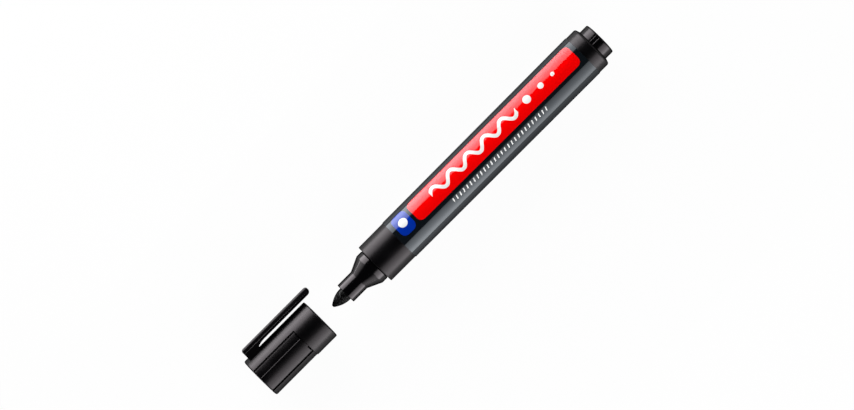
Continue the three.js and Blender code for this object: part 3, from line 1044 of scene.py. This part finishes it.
class BuildCap(bpy.types.Operator):
    """Builds the cap with its sunk grip, side panels and mouth ring"""

    bl_idname = "marker.cap"
    bl_label = "Cap"

    def execute(self, context):
        s = sizes()
        end, mouth = CAP[0].x, CAP[1].x
        grip_end = mouth - s.cap_ring_length
        # The wall starts past the closed end, and is cut to length when that end is rounded
        overrun = 2.0
        outer = s.cap_radius
        floor = outer - s.grip_depth
        cap = ring("cap_shell", end - overrun, outer, s.sides)
        rings = [end - overrun, grip_end - s.grip_step - s.groove_width, grip_end, mouth - s.cap_mouth_edge]
        for x, new_x in zip(rings, rings[1:]):
            pull((x, outer), (new_x, outer))
        self.sink_grip(cap, grip_end, outer, floor)
        for side in (1, -1):
            self.engrave_panel(cap, side, grip_end, floor)
            self.raise_ridge(cap, side, grip_end, floor)
        self.close_end(cap, end, outer)
        self.turn_mouth(cap, end, mouth, outer)
        finish(cap, "cap", "cap", cap_polypropylene)
        return {"FINISHED"}

    def sink_grip(self, cap, grip_end, outer, floor):
        """Sinks the surface on both sides and opposite the clip below the mouth ring."""
        choose(cap, "FACE", lambda f: (
            f.calc_center_median().x / MM < grip_end
            and from_clip(f.calc_center_median()) > sizes().grip_from))
        bpy.ops.mesh.inset(thickness=sizes().grip_step * MM)
        widen(floor / outer)

    def engrave_panel(self, cap, side, grip_end, floor):
        """Cuts the shallow groove that runs round a side panel."""
        s = sizes()

        def in_groove(face):
            middle = face.calc_center_median()
            angle = from_clip(middle)
            return (
                near(off_axis(middle), floor, 0.01)
                and (middle.z / MM - AXIS_Z) * side > 0
                and s.grip_from < angle < s.panel_to
                and (angle < s.grip_from + s.groove_angle
                     or angle > s.panel_to - s.groove_angle
                     or (middle.x / MM > grip_end - s.groove_width
                         and not JOINT_ANGLE < angle < s.panel_open_to)))

        choose(cap, "FACE", in_groove)
        bpy.ops.mesh.inset(thickness=s.groove_draft * MM)
        widen((floor - s.groove_depth) / floor)
        # The groove across the panel's end runs in to a tenth of its width at its bottom
        band, bottom_share = grip_end - s.grip_step - s.groove_width / 2, 0.1
        choose(cap, "VERT", lambda v: (
            near(off_axis(v.co), floor - s.groove_depth, 0.02)
            and near(v.co.x / MM, band, s.groove_width / 2)))
        bpy.ops.transform.resize(value=(bottom_share, 1, 1), center_override=(band * MM, 0, 0))

    def raise_ridge(self, cap, side, grip_end, floor):
        """Raises the fine ridge that the mould's joint leaves along a side panel."""
        s = sizes()

        def on_joint(vert):
            return (
                near(from_clip(vert.co), JOINT_ANGLE, 0.2)
                and (vert.co.z / MM - AXIS_Z) * side > 0
                and near(off_axis(vert.co), floor, 0.02)
                and vert.co.x / MM < grip_end - s.groove_width)

        choose(cap, "EDGE", lambda e: all(on_joint(v) for v in e.verts))
        bpy.ops.mesh.bevel(
            offset=s.ridge_width / 2 * MM, segments=2, affect="EDGES", clamp_overlap=False)
        choose(cap, "VERT", on_joint)
        widen((floor + s.ridge_height) / floor)

    def close_end(self, cap, end, outer):
        """Cuts the wall to length, rounds it in to the closed end and fills that."""
        edge = sizes().cap_end_edge
        bpy.ops.mesh.select_all(action="SELECT")
        bpy.ops.mesh.bisect(
            plane_co=((end + edge) * MM, 0, 0), plane_no=(1, 0, 0), clear_inner=True, use_fill=False)
        choose(cap, "EDGE", lambda e: (
            e.is_boundary and all(near(v.co.x / MM, end + edge) for v in e.verts)))
        last = (end + edge, outer)
        steps = 6
        for step in range(1, steps + 1):
            angle = math.pi / 2 * step / steps
            new = (end + edge * (1 - math.sin(angle)), outer - edge * (1 - math.cos(angle)))
            pull(last, new)
            last = new
        pull(last, (end, last[1] - edge))
        bpy.ops.mesh.edge_face_add()

    def turn_mouth(self, cap, end, mouth, outer):
        """Turns the wall in at the mouth and draws the bore down to the end wall."""
        s = sizes()
        edge = s.cap_mouth_edge
        choose(cap, "EDGE", lambda e: (
            e.is_boundary and all(near(v.co.x / MM, mouth - edge) for v in e.verts)))
        outline = [(mouth - edge, outer)]
        steps = 5
        for step in range(1, steps + 1):
            angle = math.pi / 2 * step / steps
            outline.append((mouth - edge * (1 - math.sin(angle)), outer - edge * (1 - math.cos(angle))))
        outline += [
            (mouth, s.cap_bore + edge),
            (mouth - edge / 2, s.cap_bore + edge / 4),
            (mouth - edge, s.cap_bore),
            (end + s.cap_end_wall, s.cap_bore),
        ]
        for last, new in zip(outline, outline[1:]):
            pull(last, new)
        bpy.ops.mesh.edge_face_add()


class BuildSeal(bpy.types.Operator):
    """Builds the thin cup inside the cap that seals round the nozzle's tip"""

    bl_idname = "marker.seal"
    bl_label = "Inner seal"

    def execute(self, context):
        s = sizes()
        front, back = SEAL[0].x, SEAL[1].x
        flange = (SEAL[1].z - SEAL[0].z) / 2
        bore = s.tip_radius + s.seal_gap
        floor, outer = front + s.seal_floor, bore + s.seal_wall
        seal = turned("seal_cup", [
            (front, flange, s.crisp_edge),
            (floor, flange, s.crisp_edge),
            (floor, outer, s.soft_edge),
            (back, outer, s.rim_edge),
            (back, bore, s.rim_edge),
            (floor, bore, s.soft_edge),
        ], joined=False)
        finish(seal, "cap", "cap_inner_seal", soft_polyethylene)
        return {"FINISHED"}


class BuildClip(bpy.types.Operator):
    """Builds the clip: the block on the cap and the springy arm, in one piece"""

    bl_idname = "marker.clip"
    bl_label = "Clip"

    def execute(self, context):
        s = sizes()
        start, end = CAP[0].x + s.clip_start, CLIP[1].x
        outer = CLIP[1].y
        inner = outer - s.clip_thickness
        root_end = start + s.clip_root_length
        clip = self.side_view(start, root_end, end, inner, outer)
        self.cut_ledge(clip, inner)
        self.soften(clip, start, root_end, end, inner, outer)
        self.add_bends(root_end)
        finish(clip, None, "cap_clip", satin_polypropylene, smooth=35)
        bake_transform(clip)
        return {"FINISHED"}

    def side_view(self, start, root_end, end, inner, outer):
        """Draws the clip's outline from the side, point by point, and pulls it out to its width."""
        s = sizes()
        foot = AXIS_Y + s.cap_bore + s.clip_foot_gap
        skin = AXIS_Y + s.cap_radius
        points = [(start, outer), (start, foot), (root_end, foot), (root_end, skin)]
        steps = 8
        for step in range(1, steps + 1):
            share = step / steps
            forward = 2 * share * (1 - share) / 3 + share ** 2
            rise = 1 - (1 - share) ** 2
            points.append((root_end + s.clip_fillet_length * forward, skin + (inner - skin) * rise))
        corner = s.clip_end_corner
        for step in range(steps + 1):
            angle = math.pi / 2 * step / steps
            points.append((end - corner * (1 - math.sin(angle)), inner + corner * (1 - math.cos(angle))))
        points += [(end, outer), (start, outer)]
        bpy.ops.object.select_all(action="DESELECT")
        bpy.ops.mesh.primitive_plane_add(size=MM, location=(0, 0, 0))
        clip = bpy.context.object
        clip.name = clip.data.name = "clip_spring"
        edit(clip)
        bpy.ops.mesh.select_mode(type="VERT")
        bpy.ops.mesh.select_all(action="SELECT")
        bpy.ops.mesh.merge(type="CENTER")
        bpy.ops.transform.translate(
            value=(start * MM, outer * MM, (AXIS_Z - s.clip_width / 2) * MM))
        for last, new in zip(points, points[1:]):
            step = ((new[0] - last[0]) * MM, (new[1] - last[1]) * MM, 0)
            bpy.ops.mesh.extrude_region_move(TRANSFORM_OT_translate={"value": step})
        bpy.ops.mesh.select_all(action="SELECT")
        bpy.ops.mesh.remove_doubles(threshold=0.001 * MM)
        bpy.ops.mesh.edge_face_add()
        bpy.ops.mesh.extrude_region_move(TRANSFORM_OT_translate={"value": (0, 0, s.clip_width * MM)})
        bpy.ops.mesh.select_all(action="SELECT")
        bpy.ops.mesh.normals_make_consistent(inside=False)
        return clip

    def cut_ledge(self, clip, inner):
        """Makes the outer part of the clip narrower than its base, with a slanted ledge."""
        s = sizes()
        ledge = inner + s.clip_ledge
        for height in (ledge, ledge + s.clip_ledge_slant):
            bpy.ops.mesh.select_all(action="SELECT")
            bpy.ops.mesh.bisect(plane_co=(0, height * MM, 0), plane_no=(0, 1, 0))
        choose(clip, "VERT", lambda v: v.co.y / MM > ledge + s.clip_ledge_slant / 2)
        bpy.ops.transform.resize(
            value=(1, 1, 1 - 2 * s.clip_inset / s.clip_width), center_override=(0, 0, AXIS_Z * MM))

    def soften(self, clip, start, root_end, end, inner, outer):
        """Rounds the clip's edges, each by its own share of the widest rounding."""
        s = sizes()
        base = s.clip_width / 2
        crown = base - s.clip_inset
        ledge = inner + s.clip_ledge

        def aside(vert, z):
            return near(abs(vert.co.z / MM - AXIS_Z), z)

        def at_end(vert):
            return near(vert.co.x / MM, start) or near(vert.co.x / MM, end)

        def on_crown(vert):
            return vert.co.y / MM > ledge + s.clip_ledge_slant / 2

        def on_arm_base(vert):
            return vert.co.y / MM < ledge + 0.01 and vert.co.x / MM > root_end + 0.01

        for rounding, test in (
            (s.clip_edge, lambda v: near(v.co.y / MM, outer) and aside(v, crown)),
            (s.clip_end_edge, lambda v: near(v.co.y / MM, outer) and at_end(v)),
            (s.clip_corner_edge, lambda v: on_crown(v) and at_end(v) and aside(v, crown)),
            (s.clip_base_edge, lambda v: on_arm_base(v) and aside(v, base)),
        ):
            choose(clip, "EDGE", lambda e: (
                all(test(v) for v in e.verts) and near(e.calc_face_angle(), math.pi / 2, 0.4)))
            bpy.ops.transform.edge_bevelweight(value=rounding / s.clip_edge)
        bpy.ops.object.mode_set(mode="OBJECT")
        bpy.ops.object.modifier_add(type="BEVEL")
        rounding = clip.modifiers[-1]
        rounding.limit_method = "WEIGHT"
        rounding.width = s.clip_edge * MM
        rounding.segments = 5
        rounding.use_clamp_overlap = False
        bpy.ops.object.modifier_apply(modifier=rounding.name)
        edit(clip)

    def add_bends(self, root_end):
        """Divides the arm across in several places where it leaves the block."""
        bends, just_past = 8, 0.01
        for step in range(bends + 1):
            bpy.ops.mesh.select_all(action="SELECT")
            x = root_end + sizes().clip_bend_length * (step + just_past) / bends
            bpy.ops.mesh.bisect(plane_co=(x * MM, 0, 0), plane_no=(1, 0, 0))


class FinishInkStore(bpy.types.Operator):
    """Gives the ink store and the film round it their materials"""

    bl_idname = "marker.ink_store"
    bl_label = "Ink store"

    def execute(self, context):
        for node, maker in (("ink_reservoir", soaked_fibre), ("reservoir_wrap", clear_film)):
            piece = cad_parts[node]
            piece.data.materials.clear()
            piece.data.materials.append(material(maker))
        return {"FINISHED"}


# Stage


class BuildStage(bpy.types.Operator):
    """Builds the floor, the cards, the two long lamps, the surroundings and the camera"""

    bl_idname = "marker.stage"
    bl_label = "Stage"

    def execute(self, context):
        look = context.scene.marker_stage
        self.lay_floor(look)
        self.lay_cards(look)
        self.hang_lamps(look)
        self.surround(context, look)
        self.place_camera(context, look)
        context.scene.view_settings.view_transform = "Standard"
        return {"FINISHED"}

    def lay_floor(self, look):
        """Lays the white board that the marker lies on."""
        bpy.ops.object.select_all(action="DESELECT")
        bpy.ops.mesh.primitive_plane_add(size=look.floor_width * MM, location=(0, 0, 0))
        floor = bpy.context.object
        floor.name = "floor"
        floor.data.materials.append(material(pale_floor))

    def lay_cards(self, look):
        """Lays cards that only the marker's reflections see.

        The shade card, a painted shadow, gives the marker's edges their dark line, and a light card in front
        of each lamp, a painted reflection, carries that lamp's light down to the floor.
        """
        for name, low, high, maker in (
            ("shade_card", -look.low_side_shade, look.clip_side_shade, shade_card),
            ("light_card_low_side", -look.lamp_distance, -look.low_side_card_from, light_card),
            ("light_card_clip_side", look.clip_side_card_from, look.lamp_distance, light_card),
        ):
            bpy.ops.object.select_all(action="DESELECT")
            bpy.ops.mesh.primitive_plane_add(
                size=1, location=(0, (AXIS_Y + (low + high) / 2) * MM, look.card_height * MM))
            piece = bpy.context.object
            piece.name = name
            piece.scale = (look.lamp_length * MM, (high - low) * MM, 1)
            bpy.ops.object.transform_apply(location=True, rotation=True, scale=True)
            piece.data.materials.append(material(maker))
            piece.visible_camera = False
            piece.visible_diffuse = False
            piece.visible_shadow = False
            piece.visible_transmission = False

    def hang_lamps(self, look):
        """Hangs a tall lamp on each side, brightest near the floor and fading toward its ends."""
        for name, side, height, low_level, top_level in (
            ("lamp_low_side", -1, look.low_side_height, look.low_side_level, look.low_side_top_level),
            ("lamp_clip_side", 1, look.clip_side_height, look.clip_side_level, look.clip_side_top_level),
        ):
            bpy.ops.object.light_add(
                type="AREA", location=(0, side * look.lamp_distance * MM, height / 2 * MM),
                rotation=(math.pi / 2, 0, math.pi if side > 0 else 0))
            lamp = bpy.context.object
            lamp.name = name
            lamp.data.shape = "RECTANGLE"
            lamp.data.size = look.lamp_length * MM
            lamp.data.size_y = height * MM
            lamp.data.energy = look.brightness * math.pi * lamp.data.size * lamp.data.size_y
            lamp.visible_camera = False
            lamp.data.use_nodes = True
            tree = lamp.data.node_tree
            spot = add(tree, "NewGeometry", out="Parametric")
            up = add(tree, "SeparateXYZ", spot, out="Y")
            level = add(tree, "MapRange", up, 0, 1, low_level, top_level)
            off_middle = add(tree, "Math", add(tree, "SeparateXYZ", spot, out="X"), 0.5, operation="SUBTRACT")
            off_middle = add(tree, "Math", off_middle, operation="ABSOLUTE")
            reach = add(tree, "Math", off_middle, look.lamp_length, operation="MULTIPLY")
            fade = fade_along(tree, reach, look.bright_length, look.fade_length, look.end_level)
            feed(tree, tree.nodes["Emission"], {
                "Strength": add(tree, "Math", level, fade, operation="MULTIPLY"),
            })

    def surround(self, context, look):
        """Surrounds the stage with white near the horizon and dim overhead."""
        world = bpy.data.worlds.new("studio")
        context.scene.world = world
        world.use_nodes = True
        tree = world.node_tree
        up = add(tree, "SeparateXYZ", add(tree, "TexCoord", out="Generated"), out="Z")
        feed(tree, tree.nodes["Background"], {
            "Color": linear("#FFFFFF"),
            "Strength": add(tree, "MapRange", up, look.white_below, look.dim_above, 1.0, look.dim_level),
        })

    def place_camera(self, context, look):
        """Places the camera straight above the marker, turned as the photograph is."""
        sensor = 36.0
        centre = Vector(look.view_centre) * MM
        distance = look.lens * look.view_width / sensor * MM
        bpy.ops.object.camera_add(
            location=centre + Vector((0, 0, distance)), rotation=(0, 0, look.view_turn))
        camera = bpy.context.object
        camera.name = "camera"
        camera.data.sensor_width = sensor
        camera.data.lens = look.lens
        context.scene.camera = camera


# Add-on

STEPS = (
    BuildBarrel, BuildFilm, BuildNozzle, BuildNib, BuildPlug, BuildCap, BuildSeal, BuildClip,
    FinishInkStore, BuildStage,
)


class MarkerPanel(bpy.types.Panel):
    """Lists the steps that build the marker"""

    bl_idname = "VIEW3D_PT_marker"
    bl_label = "Marker"
    bl_space_type = "VIEW_3D"
    bl_region_type = "UI"
    bl_category = "Marker"

    def draw(self, context):
        for step in STEPS:
            self.layout.operator(step.bl_idname)


GROUPS = {
    "marker_sizes": MarkerSizes,
    "marker_colours": MarkerColours,
    "marker_print": MarkerPrint,
    "marker_stage": MarkerStage,
}


def register():
    for cls in (*GROUPS.values(), *STEPS, MarkerPanel):
        bpy.utils.register_class(cls)
    for name, group in GROUPS.items():
        setattr(bpy.types.Scene, name, PointerProperty(type=group))


def unregister():
    for name in GROUPS:
        delattr(bpy.types.Scene, name)
    for cls in reversed((*GROUPS.values(), *STEPS, MarkerPanel)):
        bpy.utils.unregister_class(cls)


def main():
    register()
    for step in STEPS:
        group, name = step.bl_idname.split(".")
        getattr(getattr(bpy.ops, group), name)()


if __name__ == "__main__":
    main()
